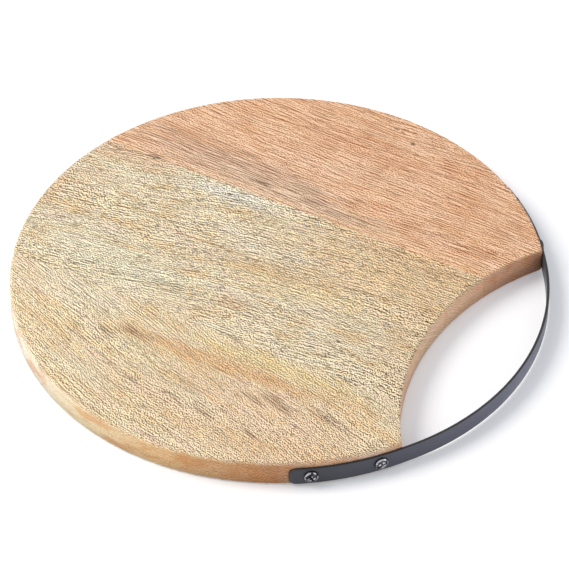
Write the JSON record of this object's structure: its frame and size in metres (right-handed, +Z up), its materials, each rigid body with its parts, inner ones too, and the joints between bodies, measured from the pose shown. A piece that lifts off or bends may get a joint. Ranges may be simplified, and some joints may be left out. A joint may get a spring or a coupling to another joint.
{
  "type": "round cutting board",
  "caption": "Round wooden cutting and serving board of edge-glued planks, with a curved hand gap in one side and a black steel strap screwed round the rim as its handle.",
  "frame": {"origin": "centre of the disc, on the underside that the board lies on", "axes": "+Z up out of the cutting face, +X towards the middle of the hand gap and its strap, planks along X"},
  "size_m": [0.3081, 0.305, 0.016],
  "materials": {
    "back_wood": "sanded and lightly oiled, pinkish tan with a brown streak along its joint",
    "middle_wood": "sanded and lightly oiled, pale straw with dense dark pores",
    "front_wood": "sanded and lightly oiled, yellow tan with short dark marks",
    "coated_steel": "satin charcoal powder coat",
    "blackened_steel": "glossy black oxide"
  },
  "bodies": {
    "root": {"back_plank": "back_wood", "middle_plank": "middle_wood", "front_plank": "front_wood", "handle_strap": "coated_steel", "back_outer_screw": "blackened_steel", "back_inner_screw": "blackened_steel", "front_inner_screw": "blackened_steel", "front_outer_screw": "blackened_steel"}
  },
  "joints": []
}
